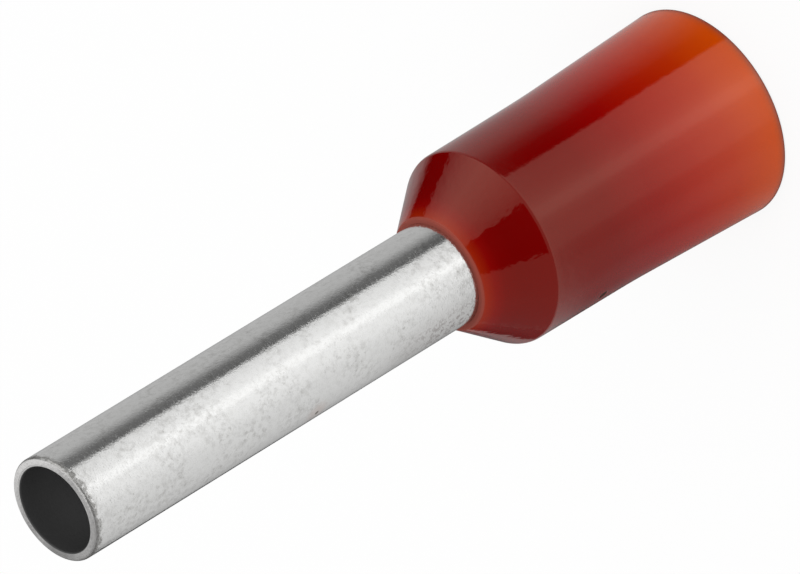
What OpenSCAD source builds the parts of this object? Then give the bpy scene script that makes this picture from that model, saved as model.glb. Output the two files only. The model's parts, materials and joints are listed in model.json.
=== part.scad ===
// Insulated wire ferrule for a 1.0 mm2 stranded conductor.
// A thin drawn tube with a funnelled inner end sits in a moulded collar, which takes
// the conductor's insulation. It stands on the collar's mouth, with the tube's tip up.
// The origin is the centre of the mouth, and +Z runs along the axis to the tip.

/* [Sleeve] */
// Outer diameter of the metal tube
sleeve_od = 1.7; // [1.5:0.05:2]
// Wall of the metal tube
sleeve_wall = 0.15; // [0.1:0.01:0.2]
// Length of bare tube beyond the collar's nose
sleeve_length = 8; // [6:0.5:12]
// Half-angle of the funnel, of its seat in the collar and of the collar's nose
funnel_angle = 36.3; // [30:0.1:42]
// Radius of the bend where the tube opens into the funnel
bend_radius = 0.15; // [0.05:0.01:0.2]
// Rounding of the tip's outer edge
tip_round = 0.05; // [0.02:0.01:0.06]
// Rounding of the tip's inner edge
tip_break = 0.03; // [0.01:0.01:0.04]
// Rounding of the funnel's rim
rim_round = 0.04; // [0.01:0.01:0.05]

/* [Collar] */
// Length from the mouth to the nose
collar_length = 5.8; // [5.4:0.1:7]
// Wall of the collar, square to its surface
collar_wall = 0.25; // [0.2:0.01:0.3]
// Diameter of the straight bore that grips the conductor's insulation
bore_d = 2.76; // [2.6:0.02:3.2]
// Free space between the funnel's rim and the bore
rim_gap = 0.08; // [0.04:0.01:0.12]
// Play between the tube and the nose's bore, beyond the seat that holds the funnel
nose_gap = 0.01; // [0.005:0.005:0.03]
// Extra diameter at the mouth, which leads the insulation in
mouth_spread = 0.24; // [0.1:0.02:0.4]
// Height of the spreading mouth
mouth_height = 2.8; // [1.5:0.1:3]
// Draft of the body's outside, from the mouth's end to the shoulder
body_draft = 0.6; // [0.2:0.1:1]
// Width of the flat lip at the nose, before its edge is rounded
lip_width = 0.075; // [0.05:0.005:0.1]
// Rounding of the nose's edge
nose_round = 0.08; // [0.03:0.01:0.1]
// Rounding of the nose's inner edge, around the tube
hole_break = 0.02; // [0.005:0.005:0.03]
// Rounding of the shoulder
shoulder_round = 0.12; // [0.05:0.01:0.3]
// Blend between the spreading mouth and the body
waist_blend = 20; // [5:1:30]
// Rounding of the mouth's edges
mouth_round = 0.06; // [0.02:0.01:0.08]
// Fillet between the bore and the funnel's seat
seat_fillet = 0.04; // [0.01:0.01:0.06]

/* [Gate mark] */
// Height of the mould's gate mark above the mouth
gate_z = 3.7; // [3.4:0.1:4.2]
// Width of the gate mark
gate_d = 0.18; // [0.1:0.01:0.25]
// Depth of the gate mark
gate_depth = 0.03; // [0.02:0.005:0.05]

/* [Hidden] */
$fn = 96;
// Largest turn of one facet of a rounded corner, and the fewest facets it gets
arc_step = 10;
arc_facets = 3;

// Tube
sleeve_r = sleeve_od / 2;
inner_r = sleeve_r - sleeve_wall;
tip_z = collar_length + sleeve_length;

// Collar, from its mouth to its nose
bore_r = bore_d / 2;
mouth_r = bore_r + mouth_spread / 2;
waist_r = bore_r + collar_wall;
hole_r = sleeve_r + nose_gap;
nose_r = sleeve_r + lip_width;
shoulder_z = (collar_length - (waist_r + mouth_height * tan(body_draft) - nose_r) / tan(funnel_angle))
    / (1 - tan(body_draft) / tan(funnel_angle));

// The funnel's outside and its seat are one cone, a wall inside the nose's cone
bend_z = collar_length - (collar_wall / cos(funnel_angle) - lip_width) / tan(funnel_angle);
seat_z = cone_z(bore_r);
rim_r = bore_r - rim_gap;
rim_z = cone_z(rim_r);

// Height at which the seat's cone has radius r
function cone_z(r) = bend_z - (r - sleeve_r) / tan(funnel_angle);

// Outer radius of the collar's body at height z, between its mouth and its shoulder
function body_r(z) = waist_r - (z - mouth_height) * tan(body_draft);

function point(corner) = [corner.x, corner.y];
function unit(v) = v / norm(v);
function turned(v, angle) = [v.x * cos(angle) - v.y * sin(angle), v.x * sin(angle) + v.y * cos(angle)];

// Points of the arc that rounds one corner [r, z, radius] between its two neighbours
function rounded_corner(before, corner, after) =
    let (
        back = unit(point(before) - point(corner)),
        ahead = unit(point(after) - point(corner)),
        half = acos(back * ahead) / 2,
        centre = point(corner) + unit(back + ahead) * corner.z / sin(half),
        start = point(corner) + back * corner.z / tan(half) - centre,
        sweep = (2 * half - 180) * sign(cross(back, ahead)),
        facets = max(arc_facets, ceil(abs(sweep) / arc_step))
    )
    [for (i = [0 : facets]) centre + turned(start, sweep * i / facets)];

// Points of a closed outline, given as corners [r, z, radius]
function rounded_outline(corners) =
    let (n = len(corners))
    [for (i = [0 : n - 1])
        each rounded_corner(corners[(i + n - 1) % n], corners[i], corners[(i + 1) % n])];

// Tinned copper tube: tip, bore and the funnel that opens at its inner end
module sleeve() {
    bend_offset = sleeve_wall * tan(funnel_angle / 2);
    rim_in = sleeve_wall * [cos(funnel_angle), sin(funnel_angle)];
    color("silver")
        rotate_extrude()
            polygon(rounded_outline([
                [sleeve_r, tip_z, tip_round],
                [sleeve_r, bend_z, bend_radius],
                [rim_r, rim_z, rim_round],
                [rim_r - rim_in.x, rim_z - rim_in.y, rim_round],
                [inner_r, bend_z - bend_offset, bend_radius + sleeve_wall],
                [inner_r, tip_z, tip_break]
            ]));
}

// Collar's section, turned about the axis
module collar_body() {
    rotate_extrude()
        polygon(rounded_outline([
            [hole_r, collar_length, hole_break],
            [nose_r, collar_length, nose_round],
            [body_r(shoulder_z), shoulder_z, shoulder_round],
            [waist_r, mouth_height, waist_blend],
            [mouth_r + collar_wall, 0, mouth_round],
            [mouth_r, 0, mouth_round],
            [bore_r, mouth_height, waist_blend],
            [bore_r, seat_z, seat_fillet],
            [hole_r, cone_z(hole_r), bend_radius]
        ]));
}

// Shallow round pit left by the mould's gate, centred on the body's surface
module gate_mark() {
    ball_r = (gate_d * gate_d / 4 + gate_depth * gate_depth) / (2 * gate_depth);
    translate([gate_depth - ball_r - body_r(gate_z), 0, gate_z])
        sphere(r = ball_r);
}

// Moulded collar: nose, shoulder, body and spreading mouth
module collar() {
    color("firebrick")
        difference() {
            collar_body();
            gate_mark();
        }
}

sleeve();
collar();
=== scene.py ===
# Looks for the wire ferrule: a tinned sleeve in a red moulded collar, stood on a pale table.
import json
import math

import bpy
from mathutils import Matrix, Vector


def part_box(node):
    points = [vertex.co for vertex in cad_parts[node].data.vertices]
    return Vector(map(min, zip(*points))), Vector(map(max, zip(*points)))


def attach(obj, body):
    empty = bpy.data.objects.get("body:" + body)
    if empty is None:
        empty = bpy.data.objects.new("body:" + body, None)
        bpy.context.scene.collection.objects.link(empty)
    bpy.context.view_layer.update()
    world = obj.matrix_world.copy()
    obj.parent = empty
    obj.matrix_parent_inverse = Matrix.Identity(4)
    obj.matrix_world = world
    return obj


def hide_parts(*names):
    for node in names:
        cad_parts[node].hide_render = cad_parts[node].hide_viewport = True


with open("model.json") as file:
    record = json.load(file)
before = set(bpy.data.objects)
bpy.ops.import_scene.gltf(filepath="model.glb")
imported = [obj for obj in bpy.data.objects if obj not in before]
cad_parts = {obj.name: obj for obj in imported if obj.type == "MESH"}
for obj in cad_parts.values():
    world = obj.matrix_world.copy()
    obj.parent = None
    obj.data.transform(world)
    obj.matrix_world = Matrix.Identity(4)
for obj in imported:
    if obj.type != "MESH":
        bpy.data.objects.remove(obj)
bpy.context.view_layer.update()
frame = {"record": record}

mm = 0.001  # the frame is in metres, and every size below is in millimetres
mounts = {mount["name"]: mount["dims"] for mount in frame["record"]["mounts"]}
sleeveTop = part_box("sleeve")[1]
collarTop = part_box("collar")[1]

tubeR = mounts["crimp_barrel"]["r_mm"]
tubeInnerR = mounts["conductor_bore"]["r_mm"]
funnelR = sleeveTop[0] / mm
tipZ = sleeveTop[2] / mm
boreR = mounts["insulation_bore"]["r_mm"]
noseZ = collarTop[2] / mm
print("frame loaded: tip at", round(tipZ, 3), "mm, nose at", round(noseZ, 3), "mm")


# Nodes

class Wire:
    # one output socket, so that sums on sockets read as plain arithmetic
    def __init__(self, net, socket):
        self.net = net
        self.socket = socket

    def __getitem__(self, name):  # another output of the same node
        return Wire(self.net, self.socket.node.outputs[name])

    def __add__(self, other):
        return self.net.maths("ADD", self, other)

    def __radd__(self, other):
        return self.net.maths("ADD", other, self)

    def __sub__(self, other):
        return self.net.maths("SUBTRACT", self, other)

    def __rsub__(self, other):
        return self.net.maths("SUBTRACT", other, self)

    def __mul__(self, other):
        return self.net.maths("MULTIPLY", self, other)

    def __rmul__(self, other):
        return self.net.maths("MULTIPLY", other, self)

    def __truediv__(self, other):
        return self.net.maths("DIVIDE", self, other)

    def __lt__(self, other):
        return self.net.maths("LESS_THAN", self, other)

    def __gt__(self, other):
        return self.net.maths("GREATER_THAN", self, other)


class Net:
    # a node tree that is being wired up
    def __init__(self, tree):
        self.tree = tree

    def add(self, kind, settings=None, values=None):
        # settings first, then the sockets: a list in order, or a dictionary by name
        node = self.tree.nodes.new(kind)
        node.location = (180 * len(self.tree.nodes), 0)
        for name, value in (settings or {}).items():
            if name == "stops":
                self.setStops(node.color_ramp, value)
            elif name == "items":
                while len(node.index_switch_items) < value:
                    node.index_switch_items.new()
            else:
                setattr(node, name, value)
        ready = [socket for socket in node.inputs if socket.enabled]
        if isinstance(values, dict):
            named = {socket.name: socket for socket in reversed(ready)}
            pairs = [(named[name], value) for name, value in values.items()]
        else:
            pairs = list(zip(ready, values or []))
        for socket, value in pairs:
            if isinstance(value, Wire):
                self.tree.links.new(value.socket, socket)
            else:
                socket.default_value = value
        if not node.outputs:
            return node
        return Wire(self, next(socket for socket in node.outputs if socket.enabled))

    def setStops(self, ramp, stops):
        while len(ramp.elements) < len(stops):
            ramp.elements.new(1)
        for element, (place, shade) in zip(ramp.elements, stops):
            element.position = place
            element.color = shade if isinstance(shade, tuple) else (shade, shade, shade, 1)

    def maths(self, operation, *values):
        return self.add("ShaderNodeMath", {"operation": operation}, values)

    def smooth(self, value, start, end):  # 0 at start to 1 at end
        settings = {"interpolation_type": "SMOOTHSTEP"}
        return self.add("ShaderNodeMapRange", settings, [value, start, end, 0.0, 1.0])

    def split(self, vector):
        parts = self.add("ShaderNodeSeparateXYZ", None, [vector])
        return parts["X"], parts["Y"], parts["Z"]

    def mixColour(self, factor, first, second):
        return self.add("ShaderNodeMix", {"data_type": "RGBA"}, [factor, first, second])

    def noise(self, place, scale, detail=2.0, roughness=0.5):
        values = {"Vector": place, "Scale": scale, "Detail": detail, "Roughness": roughness}
        return self.add("ShaderNodeTexNoise", None, values)


def grey(level):
    return (level, level, level, 1)


# Shapes: both pieces are outlines of rounded corners, turned about the axis

weldGap = 0.0002  # points of a turned surface that lie closer than this become one


def startTree(name, sizes):
    # sizes become the tree's named inputs
    tree = bpy.data.node_groups.new(name, "GeometryNodeTree")
    for label, value in sizes.items():
        kind = "NodeSocketInt" if isinstance(value, int) else "NodeSocketFloat"
        tree.interface.new_socket(label, in_out="INPUT", socket_type=kind)
    tree.interface.new_socket("Finish", in_out="INPUT", socket_type="NodeSocketMaterial")
    tree.interface.new_socket("Mesh", in_out="OUTPUT", socket_type="NodeSocketGeometry")
    net = Net(tree)
    return net, net.add("NodeGroupInput")


def roundOutline(net, corners, size):
    # a closed curve through the corners [r, z, rounding], with its straight runs cut into short steps
    index = net.add("GeometryNodeInputIndex")
    items = {"items": len(corners)}
    places = [net.add("ShaderNodeCombineXYZ", None, [corner[0], 0.0, corner[1]]) for corner in corners]
    place = net.add("GeometryNodeIndexSwitch", {"data_type": "VECTOR", **items}, [index, *places])
    rounding = net.add(
        "GeometryNodeIndexSwitch", {"data_type": "FLOAT", **items},
        [index, *[corner[2] for corner in corners]])
    points = net.add("GeometryNodePoints", None, [len(corners), place])
    curve = net.add("GeometryNodePointsToCurves", None, {"Points": points, "Weight": index})
    curve = net.add("GeometryNodeSetSplineCyclic", None, {"Geometry": curve, "Cyclic": True})
    curve = net.add(
        "GeometryNodeFilletCurve", {"mode": "POLY"},
        {"Curve": curve, "Count": size["Corner Facets"], "Radius": rounding})
    return cutRuns(net, curve, lambda run, middle: run / size["Row Step"])


def cutRuns(net, curve, rule):
    # rule gives each run's number of cuts from its length and the middle of the run
    place = net.add("GeometryNodeInputPosition")
    index = net.add("GeometryNodeInputIndex")
    following = net.add("GeometryNodeOffsetPointInCurve", None, [index, 1])["Point Index"]
    ahead = net.add("GeometryNodeFieldAtIndex", {"data_type": "FLOAT_VECTOR"}, [place, following])
    run = net.add("ShaderNodeVectorMath", {"operation": "DISTANCE"}, [place, ahead])
    middle = net.add("ShaderNodeMix", {"data_type": "VECTOR"}, [0.5, place, ahead])
    cuts = net.maths("FLOOR", rule(run, middle))
    return net.add("GeometryNodeSubdivideCurve", None, [curve, cuts])


def turnOutline(net, curve, size):
    # a grid with one row for each point of the outline, wrapped round the axis and joined at its ends
    points = net.add("GeometryNodeAttributeDomainSize", {"component": "CURVE"}, [curve])["Point Count"]
    around = size["Turn Steps"] + 1
    grid = net.add("GeometryNodeMeshGrid", None, [1.0, 1.0, points + 1, around])
    index = net.add("GeometryNodeInputIndex")
    row = net.maths("FLOOR", (index + 0.5) / around)
    column = index - row * around
    outline = net.add("GeometryNodeInputPosition")
    settings = {"data_type": "FLOAT_VECTOR", "domain": "POINT"}
    source = net.maths("MODULO", row, points)
    onOutline = net.add("GeometryNodeSampleIndex", settings, [curve, outline, source])
    radius, height = net.split(onOutline)[::2]
    turn = column / size["Turn Steps"] * math.tau
    angle = turn + size["Crowding"] * net.maths("SINE", turn)  # crowding packs the steps on the -X side
    place = net.add(
        "ShaderNodeCombineXYZ", None,
        [radius * net.maths("COSINE", angle), radius * net.maths("SINE", angle), height])
    mesh = net.add("GeometryNodeSetPosition", None, {"Geometry": grid, "Position": place})
    return net.add("GeometryNodeMergeByDistance", None, {"Geometry": mesh, "Distance": weldGap})


def endTree(net, mesh, size):
    mesh = net.add("GeometryNodeTransform", None, {"Geometry": mesh, "Scale": (mm, mm, mm)})
    mesh = net.add("GeometryNodeSetShadeSmooth", None, {"Geometry": mesh, "Shade Smooth": True})
    mesh = net.add("GeometryNodeRealizeInstances", None, [mesh])
    mesh = net.add("GeometryNodeSetMaterial", None, {"Geometry": mesh, "Material": size["Finish"]})
    net.add("NodeGroupOutput", None, {"Mesh": mesh})


def makePiece(name, net, sizes, finish):
    # runs the tree once and keeps its result as a plain mesh
    piece = bpy.data.objects.new(name, bpy.data.meshes.new(name))
    bpy.context.scene.collection.objects.link(piece)
    modifier = piece.modifiers.new("shape", "NODES")
    modifier.node_group = net.tree
    items = net.tree.interface.items_tree
    sockets = {item.name: item.identifier for item in items if item.in_out == "INPUT"}
    for label, value in {**sizes, "Finish": finish}.items():
        modifier[sockets[label]] = value
    evaluated = piece.evaluated_get(bpy.context.evaluated_depsgraph_get())
    mesh = bpy.data.meshes.new_from_object(evaluated)
    mesh.name = name
    piece.modifiers.remove(modifier)
    piece.data = mesh
    print(name, "made:", len(mesh.vertices), "points,", len(mesh.polygons), "faces")
    return piece


# The funnel, its seat in the collar and the collar's nose are parallel cones

coneSizes = {
    "angle": 36.3,  # degrees off the axis
    "wall": 0.25,  # of the collar, square to its surface
    "lipWidth": 0.075,
    "bendRadius": 0.15,
}


def bendHeight(cone):
    # where the tube starts to open, so that the collar keeps its wall outside the funnel
    angle = math.radians(cone["angle"])
    return round(noseZ - (cone["wall"] / math.cos(angle) - cone["lipWidth"]) / math.tan(angle), 4)


# Sleeve: thin drawn tube, opened into a funnel at its inner end

sleeveSizes = {
    "Tube Radius": tubeR,
    "Wall": tubeR - tubeInnerR,
    "Tip Height": tipZ,
    "Funnel Radius": funnelR,
    "Funnel Angle": coneSizes["angle"],
    "Bend Height": bendHeight(coneSizes),
    "Bend Radius": coneSizes["bendRadius"],
    "Tip Rounding": 0.05,
    "Tip Inner Rounding": 0.03,
    "Rim Rounding": 0.04,
    "Tip Trim": 0.035,  # the shear took this much off the nominal length
    "Tip Slant": 2.5,  # degrees off square
    "Slant Towards": -145.0,  # degrees round from +X, the side where the end is lowest
    "Slant Length": 0.6,  # of the tube's end, over which the slant grows
    "Slant Top": 0.05,  # below the tip, where it is full
    "Corner Facets": 12,
    "Row Step": 0.12,
    "Turn Steps": 288,
    "Crowding": 0.0,  # evenly round
}


def tipDrop(net, size, x, y):
    # how far the sheared end lies below a square one, over any point of the tube
    towards = size["Slant Towards"] * (math.pi / 180)
    slope = net.maths("TANGENT", size["Tip Slant"] * (math.pi / 180))
    along = x * net.maths("COSINE", towards) + y * net.maths("SINE", towards)
    return (along + size["Tube Radius"]) * slope + size["Tip Trim"]


def shearTip(net, mesh, size):
    place = net.add("GeometryNodeInputPosition")
    x, y, z = net.split(place)
    share = net.smooth(z, size["Tip Height"] - size["Slant Length"], size["Tip Height"] - size["Slant Top"])
    offset = net.add("ShaderNodeCombineXYZ", None, [0.0, 0.0, share * tipDrop(net, size, x, y) * -1])
    return net.add("GeometryNodeSetPosition", None, {"Geometry": mesh, "Offset": offset})


def sleeveTree(sizes):
    net, size = startTree("drawnSleeve", sizes)
    angle = size["Funnel Angle"] * (math.pi / 180)
    wall, outer = size["Wall"], size["Tube Radius"]
    tip, bend = size["Tip Height"], size["Bend Height"]
    inner = outer - wall
    funnel = size["Funnel Radius"]
    rimZ = bend - (funnel - outer) / net.maths("TANGENT", angle)
    innerBend = bend - wall * net.maths("TANGENT", angle / 2)
    corners = [
        (outer, tip, size["Tip Rounding"]),
        (outer, bend, size["Bend Radius"]),
        (funnel, rimZ, size["Rim Rounding"]),
        (funnel - wall * net.maths("COSINE", angle), rimZ - wall * net.maths("SINE", angle),
         size["Rim Rounding"]),
        (inner, innerBend, size["Bend Radius"] + wall),
        (inner, tip, size["Tip Inner Rounding"]),
    ]
    mesh = turnOutline(net, roundOutline(net, corners, size), size)
    endTree(net, shearTip(net, mesh, size), size)
    return net


# Collar: moulded nose, shoulder, body and spreading mouth, with the gate's pit in its side

collarSizes = {
    "Bore Radius": boreR,
    "Wall": coneSizes["wall"],
    "Length": noseZ,
    "Tube Radius": tubeR,
    "Hole Play": 0.001,
    "Lip Width": coneSizes["lipWidth"],
    "Cone Angle": coneSizes["angle"],
    "Draft": 0.6,  # degrees
    "Mouth Spread": 0.12,  # on the radius
    "Mouth Height": 2.8,
    "Seat Bend Height": bendHeight(coneSizes),
    "Nose Rounding": 0.04,
    "Hole Rounding": 0.002,
    "Shoulder Rounding": 0.12,
    "Waist Rounding": 20.0,
    "Mouth Rounding": 0.06,
    "Seat Rounding": 0.04,
    "Seat Bend Radius": coneSizes["bendRadius"],
    "Gate Height": 3.7,
    "Gate Width": 0.18,
    "Gate Depth": 0.03,
    "Gate Cuts": 6,  # extra cuts in each run that passes the gate
    "Corner Facets": 12,
    "Row Step": 0.12,
    "Turn Steps": 288,
    "Crowding": 0.7,  # finer round the gate
}


def collarTree(sizes):
    net, size = startTree("mouldedCollar", sizes)
    slope = net.maths("TANGENT", size["Cone Angle"] * (math.pi / 180))
    draft = net.maths("TANGENT", size["Draft"] * (math.pi / 180))
    bore, wall, length = size["Bore Radius"], size["Wall"], size["Length"]
    tube = size["Tube Radius"]
    hole, nose = tube + size["Hole Play"], tube + size["Lip Width"]
    waist, waistZ = bore + wall, size["Mouth Height"]
    mouth = bore + size["Mouth Spread"]
    shoulderZ = (length - (waist + waistZ * draft - nose) / slope) / (1 - draft / slope)
    shoulder = waist - (shoulderZ - waistZ) * draft
    seatBend = size["Seat Bend Height"]
    seatZ = seatBend - (bore - tube) / slope
    holeZ = seatBend - (hole - tube) / slope
    corners = [
        (hole, length, size["Hole Rounding"]),
        (nose, length, size["Nose Rounding"]),
        (shoulder, shoulderZ, size["Shoulder Rounding"]),
        (waist, waistZ, size["Waist Rounding"]),
        (mouth + wall, 0.0, size["Mouth Rounding"]),
        (mouth, 0.0, size["Mouth Rounding"]),
        (bore, waistZ, size["Waist Rounding"]),
        (bore, seatZ, size["Seat Rounding"]),
        (hole, holeZ, size["Seat Bend Radius"]),
    ]
    curve = roundOutline(net, corners, size)

    def finerAtGate(run, middle):
        radius, height = net.split(middle)[::2]
        nearby = net.maths("ABSOLUTE", height - size["Gate Height"]) < size["Gate Width"]
        return nearby * (radius > bore + wall / 2) * size["Gate Cuts"]

    mesh = turnOutline(net, cutRuns(net, curve, finerAtGate), size)
    endTree(net, pressGate(net, mesh, size, waist - (size["Gate Height"] - waistZ) * draft), size)
    return net


def pressGate(net, mesh, size, surface):
    # a ball pressed into the surface at -X leaves the pit
    half, depth = size["Gate Width"] / 2, size["Gate Depth"]
    ball = (half * half + depth * depth) / (2 * depth)
    place = net.add("GeometryNodeInputPosition")
    across, along, height = net.split(place)
    up = height - size["Gate Height"]
    reach = ball * ball - along * along - up * up
    floorOfPit = depth - ball - surface + net.maths("SQRT", net.maths("MAXIMUM", reach, 0.0))
    onOutside = across < -0.5 * (surface + size["Bore Radius"])
    pressed = net.maths("MAXIMUM", across, floorOfPit)
    inBall = (reach > 0) * onOutside
    newPlace = net.add("ShaderNodeCombineXYZ", None, [pressed, along, height])
    values = {"Geometry": mesh, "Selection": inBall, "Position": newPlace}
    return net.add("GeometryNodeSetPosition", None, values)


# Finishes

def emptyMaterial(name):
    material = bpy.data.materials.new(name)
    material.use_nodes = True
    material.node_tree.nodes.clear()
    return material, Net(material.node_tree)


def placeInMillimetres(net):
    place = net.add("ShaderNodeTexCoord")["Object"]
    return net.add("ShaderNodeVectorMath", {"operation": "SCALE"}, {"Vector": place, "Scale": 1 / mm})


def endFinish(net, shader):
    net.add("ShaderNodeOutputMaterial", None, {"Surface": shader})


def turnShare(degrees):  # -180 degrees to 0, and 180 to 1
    return (degrees + 180) / 360


def shadeByAngle(net, share, shades):
    stops = [(turnShare(degrees), shade) for degrees, shade in shades]
    return net.add("ShaderNodeValToRGB", {"stops": stops}, [share])


tinLook = {
    "tin": (0.83, 0.83, 0.82, 1),
    "speck": (0.30, 0.29, 0.27, 1),
    # the marks in the tin: how many in a millimetre, and how crisp
    "grainPerMillimetre": 24.0,
    "grainCrispness": 0.65,
    "grainSqueeze": 1.9,  # the grain is so much shorter along the axis
    "mottlePerMillimetre": 11.0,
    "mottleCrispness": 0.6,
    "specksPerMillimetre": 14.0,
    "specksCrispness": 0.7,
    "patchesPerMillimetre": 1.6,
    # a speck shows where its noise passes an edge, which drops on the worn side and in patches
    "speckEdge": 0.61,
    "speckFade": 0.14,
    "speckWorn": 0.03,
    "speckPatchy": 0.35,
    "wornFrom": 0.3,  # of the tube's radius: the -X side has had more rubbing
    # how much each mark dulls the tin
    "dullBase": 0.03,
    "dullSpecks": 0.22,
    "dullMottle": 0.45,
    "dullGrain": 0.4,
    "clusters": (0.40, 0.62),  # patches between these become clusters of marks
    "clusterMottle": 0.75,
    "clusterDull": 0.05,
    "tarnish": (0.32, 0.29, 0.28, 1),  # painted shade with a faint painted reflection of the red collar, on the -X side, close to the collar
    "tarnishHeights": (2.4, 0.5),  # above the nose: where it starts, and where it is full
    "tarnishFrom": -0.7,  # of the tube's radius
    "tarnishBase": 0.2,
    "tarnishBlotches": 0.7,
    "blotches": (0.95, 1.15),
    "stain": (0.10, 0.07, 0.04, 1),
    "stainEdge": (0.72, 0.60, 0.55, 1),
    "stainAngle": -175.0,  # degrees round from +X
    "stainHeight": 9.15,
    "stainWidth": 0.08,
    "stainCore": (0.6, 0.3),  # of its width: where it starts, and where it is full
    "stainHalo": (3.5, 1.0),
    "stainHaloShare": 0.5,
    "stainRaggedness": 0.8,
    "stainRagsPerMillimetre": 25.0,
    "insideNear": (0.035, 0.035, 0.035, 1),  # dark grey at the mouth of the bore; deeper down it is lighter, painted light that evens out the shade inside
    "insideDeep": (0.110, 0.110, 0.110, 1),
    "insideDepth": 1.2,
    "insideEdge": (0.03, 0.012),  # of wall at the mouth of the bore: where it starts, and where it is full
    "shearDepth": 0.12,  # of the tube's end, roughened by the shear
    "shearRagged": 0.2,
    "shearInner": (0.03, 0.05),  # of wall at the inner edge, where the roughened part starts and is full
    "shearRelief": 3.0,
    "burr": 0.75,
    "burrBase": 0.4,
    "burrGrain": (0.40, 0.60),
    "endDepth": (0.014, 0.005),  # of the cut face: where it starts, and where it is full
    "endRagged": 0.01,
    "shearedTin": (0.88, 0.87, 0.86, 1),
    "shearedMetallic": 0.7,  # torn metal scatters part of the light
    "shearedBase": 0.5,
    "shearedMottle": 0.4,
    "shearedGrain": 0.6,
    # painted light and shade: share of the sheared tin's colour round the end, by degrees from +X, lighter
    # and darker as the light falls on the cut
    "shearedShades": [
        (-180, 0.55), (-145, 0.53), (-125, 0.62), (-85, 0.60), (-65, 0.80), (-45, 1.0), (-5, 1.0),
        (15, 0.92), (35, 0.80), (55, 0.68), (75, 0.46), (95, 0.53), (115, 0.36), (135, 0.39), (155, 0.54),
        (180, 0.55),
    ],
    "roughness": 0.10,
    "patchyRoughness": 0.05,
    "haze": 0.20,  # extra roughness in the grain's spots
    "hazeGrain": (0.50, 0.75),
    "shearedRoughness": 0.38,
    "insideRoughness": 0.6,
    "grainHeight": 0.0021,
    "mottleRelief": 0.8,  # against the grain's
}


def tinFinish(look, sizes):
    material, net = emptyMaterial("tinnedMetal")
    place = placeInMillimetres(net)
    x, y, z = net.split(place)
    radius = net.maths("SQRT", x * x + y * y)
    fromTip = sizes["Tip Height"] - z - tipDrop(net, sizes, x, y)
    squeeze = (1.0, 1.0, look["grainSqueeze"])
    squeezed = net.add("ShaderNodeMapping", None, {"Vector": place, "Scale": squeeze})
    grain = net.noise(squeezed, look["grainPerMillimetre"], roughness=look["grainCrispness"])
    mottle = net.noise(place, look["mottlePerMillimetre"], roughness=look["mottleCrispness"])
    patches = net.noise(place, look["patchesPerMillimetre"])
    colour = dullTinWithPaintedShade(net, look, place, grain, mottle, patches)
    colour = stainMetal(net, look, place, colour)

    # the cut face's colour carries painted light and shade round the end
    end = net.smooth(fromTip + (mottle - 0.5) * look["endRagged"], *look["endDepth"])
    colour = net.mixColour(end, colour, shearedColourWithPaintedShade(net, look, x, y, grain, mottle))
    inside = net.smooth(radius, *[tubeInnerR + wall for wall in look["insideEdge"]])
    # the bore turns lighter with depth: painted light against the shade that falls down it
    depth = net.smooth(fromTip, 0.0, look["insideDepth"])
    colour = net.mixColour(inside, colour, net.mixColour(depth, look["insideNear"], look["insideDeep"]))

    ragged = fromTip + (mottle - 0.5) * look["shearRagged"]
    sheared = net.smooth(ragged, look["shearDepth"], 0.5 * look["shearDepth"])
    sheared = sheared * net.smooth(radius, *[tubeInnerR + wall for wall in look["shearInner"]])
    torn = look["burrBase"] + net.smooth(grain, *look["burrGrain"]) * (1 - look["burrBase"])
    colour = net.mixColour(sheared * (1 - end) * torn * look["burr"], colour, look["speck"])

    roughness = look["roughness"] + (patches - 0.5) * look["patchyRoughness"]
    roughness = roughness + net.smooth(grain, *look["hazeGrain"]) * look["haze"]
    roughness = roughness + sheared * (look["shearedRoughness"] - look["roughness"])
    roughness = roughness + inside * (look["insideRoughness"] - look["roughness"])
    relief = grain + mottle * look["mottleRelief"] + sheared * grain * look["shearRelief"]
    bump = net.add(
        "ShaderNodeBump", None,
        {"Strength": 1.0, "Distance": look["grainHeight"] * mm, "Height": relief})
    shader = net.add(
        "ShaderNodeBsdfPrincipled", None,
        {"Base Color": colour, "Metallic": 1 - inside - end * (1 - look["shearedMetallic"]),
         "Roughness": roughness, "Normal": bump})
    endFinish(net, shader)
    return material


def dullTinWithPaintedShade(net, look, place, grain, mottle, patches):
    # specks, mottle and grain over the bright tin, and painted shade near the collar
    x, z = net.split(place)[::2]
    worn = net.smooth(x, look["wornFrom"] * tubeR, -tubeR)
    spots = net.noise(place, look["specksPerMillimetre"], roughness=look["specksCrispness"])
    edge = look["speckEdge"] - worn * look["speckWorn"] - (patches - 0.5) * look["speckPatchy"]
    specks = net.smooth(spots, edge, edge + look["speckFade"])
    clusters = net.smooth(patches, *look["clusters"])
    dull = specks * look["dullSpecks"] + (0.5 - grain) * look["dullGrain"]
    dull = dull + (0.5 - mottle) * (look["dullMottle"] + clusters * look["clusterMottle"])
    dull = dull + clusters * look["clusterDull"] + look["dullBase"]
    colour = net.mixColour(dull, look["tin"], look["speck"])

    # painted shade in blotches on the -X side next to the collar, with a faint painted reflection of the
    # collar
    low = net.smooth(x, look["tarnishFrom"] * tubeR, -tubeR)
    tarnish = net.smooth(z, *[noseZ + height for height in look["tarnishHeights"]]) * low
    blotches = net.smooth(mottle + grain, *look["blotches"])
    blotched = look["tarnishBase"] + blotches * look["tarnishBlotches"]
    return net.mixColour(tarnish * blotched, colour, look["tarnish"])


def stainMetal(net, look, place, colour):
    # one small spot of flux or dirt, with a faint halo
    angle = math.radians(look["stainAngle"])
    centre = (tubeR * math.cos(angle), tubeR * math.sin(angle), look["stainHeight"])
    away = net.add("ShaderNodeVectorMath", {"operation": "DISTANCE"}, [place, centre])
    rags = net.noise(place, look["stainRagsPerMillimetre"], 1.0)
    away = away * (1 - look["stainRaggedness"] / 2 + rags * look["stainRaggedness"])
    halo = net.smooth(away, *[share * look["stainWidth"] for share in look["stainHalo"]])
    core = net.smooth(away, *[share * look["stainWidth"] for share in look["stainCore"]])
    colour = net.mixColour(halo * look["stainHaloShare"], colour, look["stainEdge"])
    return net.mixColour(core, colour, look["stain"])


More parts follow.
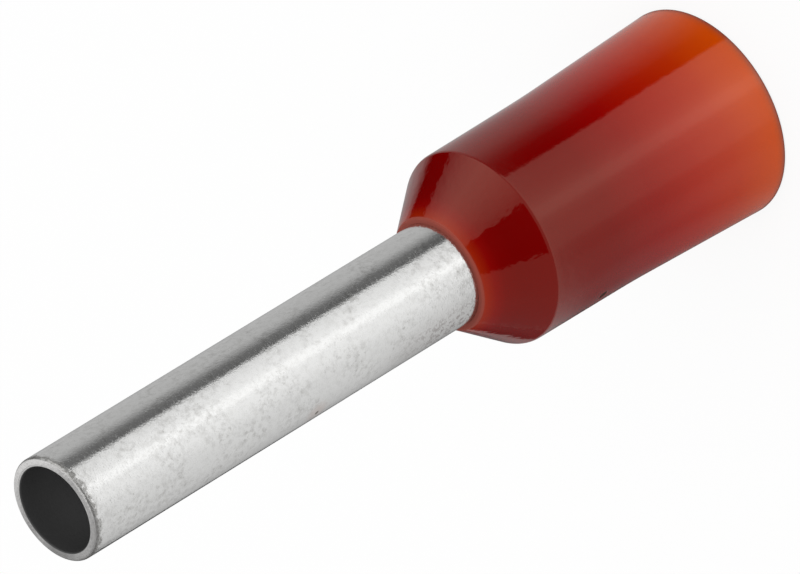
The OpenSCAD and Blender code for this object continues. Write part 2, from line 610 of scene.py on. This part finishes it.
def shearedColourWithPaintedShade(net, look, x, y, grain, mottle):
    # painted light and shade by angle round the end, varied by mottle and grain
    turn = net.maths("ARCTAN2", y, x) / math.tau + 0.5
    share = shadeByAngle(net, turn, look["shearedShades"])
    share = share * (look["shearedBase"] + mottle * look["shearedMottle"] + grain * look["shearedGrain"])
    return net.mixColour(share, grey(0.0), look["shearedTin"])


plasticLook = {
    "shades": [  # height above the mouth in millimetres, and the colour there: the red plastic's own with painted glow and painted shade
        # painted light: lighter and more orange towards the mouth and deep red at the nose, a painted glow
        # of light passing through the plastic, weaker where the funnel inside blocks it; the darker brown at
        # the foot is painted shade
        (0.00, (0.250, 0.0750, 0.0550, 1)),
        (0.05, (0.270, 0.0620, 0.0350, 1)),
        (0.12, (0.470, 0.0600, 0.0050, 1)),
        (0.20, (0.520, 0.0570, 0.0006, 1)),
        (1.10, (0.388, 0.0205, 0.0003, 1)),
        (1.80, (0.318, 0.0072, 0.0003, 1)),
        (2.70, (0.228, 0.0006, 0.0003, 1)),
        (3.60, (0.163, 0.0003, 0.0003, 1)),
        (4.60, (0.142, 0.0003, 0.0003, 1)),
        (5.30, (0.132, 0.0003, 0.0003, 1)),
        (5.50, (0.145, 0.0003, 0.0003, 1)),
        (5.62, (0.185, 0.0010, 0.0006, 1)),
        (5.76, (0.250, 0.0120, 0.0015, 1)),
        (5.79, (0.240, 0.0450, 0.0330, 1)),
    ],
    "cloudsPerMillimetre": 1.1,
    "cloudShift": 0.25,  # clouds move the shades up and down by this much
    "cloudsAbove": (0.1, 0.6),  # heights between which the clouds fade in
    "cloudsBelow": (5.6, 5.0),
    "gate": (0.015, 0.001, 0.0004, 1),
    "gateEdge": (1.1, 0.7),  # of the gate's half width: where its colour starts and is full
    "roughness": 0.06,
    "grainRoughness": 0.03,
    "gateRoughness": 0.6,
    "lipRoughness": 0.8,
    "lipDepth": (0.04, 0.01),  # below the nose, where the roughness of the lip starts and is full
    "ior": 1.43,
    "shine": 1.0,  # 0.5 is what the ior alone gives
    "shineTint": (1.0, 0.62, 0.48, 1),
    "wavesPerMillimetre": 7.0,
    "waveHeight": 0.0045,
    "bodyWaves": 0.4,  # the body is truer than the nose
    "bodyWavesEnd": (4.7, 5.0),
    "grainPerMillimetre": 30.0,
    "grainRelief": 0.04,  # against the waves'
}


def plasticFinish(look, sizes):
    material, net = emptyMaterial("redPlastic")
    place = placeInMillimetres(net)
    x, y, z = net.split(place)
    clouds = net.noise(place, look["cloudsPerMillimetre"])
    fade = net.smooth(z, *look["cloudsAbove"]) * net.smooth(z, *look["cloudsBelow"])
    height = (z + (clouds - 0.5) * look["cloudShift"] * fade) / noseZ
    # the colour by height carries painted glow of light through the plastic, and painted shade at the foot
    stops = [(shadeZ / noseZ, shade) for shadeZ, shade in look["shades"]]
    colour = net.add("ShaderNodeValToRGB", {"stops": stops}, [height])
    up = z - sizes["Gate Height"]
    fromGate = net.maths("SQRT", y * y + up * up)
    half = sizes["Gate Width"] / 2
    atGate = net.smooth(fromGate, *[share * half for share in look["gateEdge"]]) * (x < -boreR)
    colour = net.mixColour(atGate, colour, look["gate"])

    grain = net.noise(place, look["grainPerMillimetre"])
    lip = net.smooth(z, *[noseZ - depth for depth in look["lipDepth"]])
    roughness = look["roughness"] + grain * look["grainRoughness"]
    roughness = roughness + atGate * (look["gateRoughness"] - look["roughness"])
    roughness = roughness + lip * (look["lipRoughness"] - look["roughness"])
    nose = net.smooth(z, *look["bodyWavesEnd"])
    waves = net.noise(place, look["wavesPerMillimetre"])
    waves = waves * (look["bodyWaves"] + (1 - look["bodyWaves"]) * nose)
    relief = waves + grain * look["grainRelief"]
    bump = net.add(
        "ShaderNodeBump", None,
        {"Strength": 1.0, "Distance": look["waveHeight"] * mm, "Height": relief})
    shader = net.add(
        "ShaderNodeBsdfPrincipled", None,
        {"Base Color": colour, "Roughness": roughness, "IOR": look["ior"], "Normal": bump,
         "Specular IOR Level": look["shine"], "Specular Tint": look["shineTint"]})
    endFinish(net, shader)
    return material


tin = tinFinish(tinLook, sleeveSizes)
sleeve = makePiece("tinnedSleeve", sleeveTree(sleeveSizes), sleeveSizes, tin)
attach(sleeve, "root")
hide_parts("sleeve")

plastic = plasticFinish(plasticLook, collarSizes)
collar = makePiece("mouldedCollar", collarTree(collarSizes), collarSizes, plastic)
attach(collar, "root")
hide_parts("collar")


# Camera

cameraView = {
    "azimuth": -15.0,  # degrees round from the -Y side, towards -X
    "elevation": 34.27,
    "roll": -121.52,
    "distance": 137.24,
    "aimHeight": 6.506,
    "aimSide": 0.141,
    "lens": 412.9,
    "clipStart": 0.01,  # metres
}


def placeCamera(view):
    azimuth, elevation = math.radians(view["azimuth"]), math.radians(view["elevation"])
    side = Vector((math.cos(azimuth), math.sin(azimuth), 0))
    back = Vector((
        math.sin(azimuth) * math.cos(elevation), -math.cos(azimuth) * math.cos(elevation),
        math.sin(elevation)))
    aim = side * view["aimSide"] + Vector((0, 0, view["aimHeight"]))
    data = bpy.data.cameras.new("camera")
    data.lens = view["lens"]
    data.clip_start = view["clipStart"]
    camera = bpy.data.objects.new("camera", data)
    bpy.context.scene.collection.objects.link(camera)
    turn = (-back).to_track_quat("-Z", "Y").to_matrix().to_4x4()
    roll = Matrix.Rotation(math.radians(view["roll"]), 4, "Z")
    camera.matrix_world = Matrix.Translation((aim + back * view["distance"]) * mm) @ turn @ roll
    bpy.context.scene.camera = camera


placeCamera(cameraView)
print("camera placed")


# Table, reflection cards and light. Cards only show in what is glossy, as dark and bright boards do.

tableLook = {
    "size": 1200.0,
    "colour": (0.85, 0.85, 0.85, 1),
    "whiteness": 0.86,  # how much of the table's look doesn't depend on the light
}

cardLook = {
    "innerR": 1.5,
    "outerR": 560.0,
    "height": 0.004,
    "apex": 1.0,  # the shades fan out from a point this far off the axis, towards the camera's side
    "farFrom": 7.0,
    "farAt": 9.0,
    # shades: angle from the camera's side in degrees, clockwise from above, and brightness
    "nearShades": [  # what the collar shows
        (-180, 0.05), (-174, 0.45), (-150, 0.50), (-127, 0.47), (-108, 0.48), (-95, 0.40), (-83, 0.18),
        (-71, 0.03), (-60, 0.0), (-53.8, 0.0), (-52.8, 0.56), (-40, 0.68), (-30, 0.72), (-20, 0.82),
        (-10, 1.0), (-4, 1.2), (4, 1.2), (10, 0.92), (20, 0.79), (30, 0.78), (42, 0.70), (48, 0.53),
        (60, 0.44), (70, 0.45), (83, 0.40), (95, 0.33), (108, 0.31), (127, 0.20), (148, 0.17),
        (160, 0.05), (166, 0.0), (180, 0.0),
    ],
    "farShades": [  # what the sleeve shows
        (-180, 0.05), (-174, 0.35), (-160, 0.45), (-148, 0.52), (-100, 0.50), (-90, 0.38), (-82, 0.27),
        (-75, 0.16), (-56, 0.13), (-53.5, 0.82), (-35, 0.91), (-16, 1.0), (-8, 1.15), (3, 1.16), (10, 0.99),
        (30, 0.95), (45, 0.86), (60, 0.78), (97, 0.70), (125, 0.60), (150, 0.46), (156, 0.38), (162, 0.22),
        (170, 0.12), (180, 0.05),
    ],
    "sideFrom": 27.0,
    "sideAt": 31.0,
    "sideNearer": [(125, 140, 5.0), (156, 161, 9.0)],  # past these angles it starts nearer by so much
    "sideShades": [  # what the nose's flanks show
        (-180, 0.05), (-174, 0.35), (-150, 0.42), (-141, 0.30), (-137, 0.05), (-116, 0.0), (-110, 0.40),
        (-94, 0.42), (-80, 0.25), (-56, 0.25), (0, 0.4), (110, 0.29), (137, 0.14), (150, 0.03), (160, 0.05),
        (180, 0.05),
    ],
    "contact": 0.08,  # width of the dark line round the collar's foot
    "contactLight": 0.3,  # what is left of the light there
    "footGlow": 0.5,  # extra brightness of the table on the camera's side of the foot
    "footGlowFrom": 7.0,  # distances from the axis
    "footGlowAt": 2.8,
    "footGlowInner": (1.0, 3.0),  # it fades in between these
    "footGlowSide": (-0.5, 1.0),  # and between these, measured from the apex towards the camera's side
    "ringSteps": 180,
    "cardSteps": 16,
    "window": {"from": -19.0, "to": 42.0, "low": 27.0, "high": 52.0, "distance": 60.0},
    "post": {"from": -139.0, "to": -114.0, "low": -8.0, "high": 24.0, "distance": 60.0},
}

worldLook = {
    "light": 0.93,
    "seen": 1.0,
    "overhead": 1.3,  # a soft lamp high over the object, shown by glossy edges
    "overheadFrom": 66.0,  # degrees up
    "overheadAt": 76.0,
    "shades": [  # what glossy surfaces show above the table, by the same angle
        (-180, 0.65), (-161, 0.44), (-137, 0.40), (-114, 0.27), (-94, 0.88), (-78, 1.15), (-61, 1.05),
        (-41, 0.78), (-21, 0.48), (12, 0.40), (43, 0.33), (94, 0.34), (110, 0.29), (124, 0.24),
        (137, 0.16), (150, 0.08), (163, 0.20), (180, 0.65),
    ],
}

softboxLook = {
    "energy": 0.32,
    "size": 300.0,
    "distance": 300.0,
    "angle": -15.0,
    "elevation": 55.0,
}

rigTurn = math.radians(cameraView["azimuth"] - 90)  # the rig's +X points at the camera's side


def onlyGlossy(card):
    card.visible_camera = False
    card.visible_diffuse = False
    card.visible_transmission = False
    card.visible_volume_scatter = False
    card.visible_shadow = False


def addStage(name, points, faces, material):
    mesh = bpy.data.meshes.new(name)
    mesh.from_pydata(points, [], faces)
    mesh.materials.append(material)
    stage = bpy.data.objects.new(name, mesh)
    stage.rotation_euler = (0, 0, rigTurn)
    bpy.context.scene.collection.objects.link(stage)
    return stage


def tableFinish(look):
    material, net = emptyMaterial("table")
    ray = net.add("ShaderNodeLightPath")
    straight = ray["Is Camera Ray"] + ray["Is Glossy Ray"] + ray["Is Transmission Ray"]
    seen = net.maths("MINIMUM", straight, 1.0)
    matt = net.add("ShaderNodeBsdfDiffuse", None, {"Color": look["colour"]})
    white = net.add("ShaderNodeEmission", None, {"Color": grey(1.0), "Strength": 1.0})
    endFinish(net, net.add("ShaderNodeMixShader", None, [seen * look["whiteness"], matt, white]))
    return material


def shadeFinish(name, level):
    material, net = emptyMaterial(name)
    endFinish(net, net.add("ShaderNodeEmission", None, {"Color": grey(level), "Strength": 1.0}))
    return material


def angleShare(net, towards, across):
    # the angle from the camera's side: 0 at -180 degrees to 1 at 180
    return 0.5 - net.maths("ARCTAN2", across, towards) / math.tau


def sheenFinish(look):
    material, net = emptyMaterial("tableCard")
    x, y = net.split(placeInMillimetres(net))[:2]
    towards = x - look["apex"]
    reach = net.maths("SQRT", towards * towards + y * y)
    share = angleShare(net, towards, y)
    near, far, side = [
        shadeByAngle(net, share, look[name]) for name in ("nearShades", "farShades", "sideShades")]
    colour = net.mixColour(net.smooth(reach, look["farFrom"], look["farAt"]), near, far)
    for start, end, nearer in look["sideNearer"]:
        reach = reach + net.smooth(share, turnShare(start), turnShare(end)) * nearer
    colour = net.mixColour(net.smooth(reach, look["sideFrom"], look["sideAt"]), colour, side)
    foot = collarTop[0] / mm
    fromAxis = net.maths("SQRT", x * x + y * y)
    lit = net.smooth(fromAxis, foot, foot + look["contact"])
    lit = look["contactLight"] + (1 - look["contactLight"]) * lit
    glow = net.smooth(fromAxis, look["footGlowFrom"], look["footGlowAt"])
    glow = glow * net.smooth(fromAxis, *look["footGlowInner"]) * net.smooth(towards, *look["footGlowSide"])
    lit = lit * (1 + look["footGlow"] * glow)
    endFinish(net, net.add("ShaderNodeEmission", None, {"Color": colour, "Strength": lit}))
    return material


def arcPoints(radius, height, start, end, steps):
    points = []
    for step in range(steps + 1):
        angle = math.radians(start + (end - start) * step / steps)
        points.append((radius * mm * math.cos(angle), -radius * mm * math.sin(angle), height * mm))
    return points


def addTable(look):
    half = look["size"] / 2 * mm
    points = [(-half, -half, 0), (half, -half, 0), (half, half, 0), (-half, half, 0)]
    addStage("table", points, [(0, 1, 2, 3)], tableFinish(look))


def addBand(name, first, second, material):
    steps = len(first) - 1
    faces = [(i, i + 1, steps + 2 + i, steps + 1 + i) for i in range(steps)]
    onlyGlossy(addStage(name, first + second, faces, material))


def addCards(look):
    inner, outer = [
        arcPoints(look[edge], look["height"], -180, 180, look["ringSteps"]) for edge in ("innerR", "outerR")]
    addBand("tableCard", inner, outer, sheenFinish(look))
    for name in ("window", "post"):
        card = look[name]
        heights = [card["distance"] * math.tan(math.radians(card[side])) + noseZ for side in ("low", "high")]
        low, high = [
            arcPoints(card["distance"], height, card["from"], card["to"], look["cardSteps"])
            for height in heights]
        addBand(name + "Card", low, high, shadeFinish(name + "Card", 0.0))


def rigVector(angle, elevation=0.0):
    # unit vector at an angle from the camera's side, clockwise from above
    turn = rigTurn - math.radians(angle)
    rise = math.radians(elevation)
    return Vector((math.cos(turn) * math.cos(rise), math.sin(turn) * math.cos(rise), math.sin(rise)))


def addWorld(look):
    world = bpy.data.worlds.new("paleRoom")
    bpy.context.scene.world = world
    world.use_nodes = True
    world.node_tree.nodes.clear()
    net = Net(world.node_tree)
    ray = net.add("ShaderNodeLightPath")
    direction = net.add("ShaderNodeTexCoord")["Generated"]
    dot = {"operation": "DOT_PRODUCT"}
    towards = net.add("ShaderNodeVectorMath", dot, [direction, rigVector(0)])
    across = net.add("ShaderNodeVectorMath", dot, [direction, rigVector(-90)])
    up = net.split(direction)[2]
    rises = [math.sin(math.radians(look[name])) for name in ("overheadFrom", "overheadAt")]
    shown = net.mixColour(
        net.smooth(up, *rises), shadeByAngle(net, angleShare(net, towards, across), look["shades"]),
        grey(look["overhead"]))
    plain = look["light"] + ray["Is Camera Ray"] * (look["seen"] - look["light"])
    level = net.mixColour(ray["Is Glossy Ray"], net.add("ShaderNodeCombineColor", None, [plain] * 3), shown)
    background = net.add("ShaderNodeBackground", None, {"Color": level, "Strength": 1.0})
    net.add("ShaderNodeOutputWorld", None, {"Surface": background})


def addSoftbox(look):
    data = bpy.data.lights.new("softbox", "AREA")
    data.energy = look["energy"]
    data.size = look["size"] * mm
    softbox = bpy.data.objects.new("softbox", data)
    direction = rigVector(look["angle"], look["elevation"])
    softbox.location = direction * look["distance"] * mm
    softbox.rotation_mode = "QUATERNION"
    softbox.rotation_quaternion = direction.to_track_quat("Z", "Y")
    softbox.visible_glossy = False
    softbox.visible_camera = False
    bpy.context.scene.collection.objects.link(softbox)


addTable(tableLook)
addCards(cardLook)
addWorld(worldLook)
addSoftbox(softboxLook)
bpy.context.scene.view_settings.view_transform = "Standard"
print("table, cards and light placed")
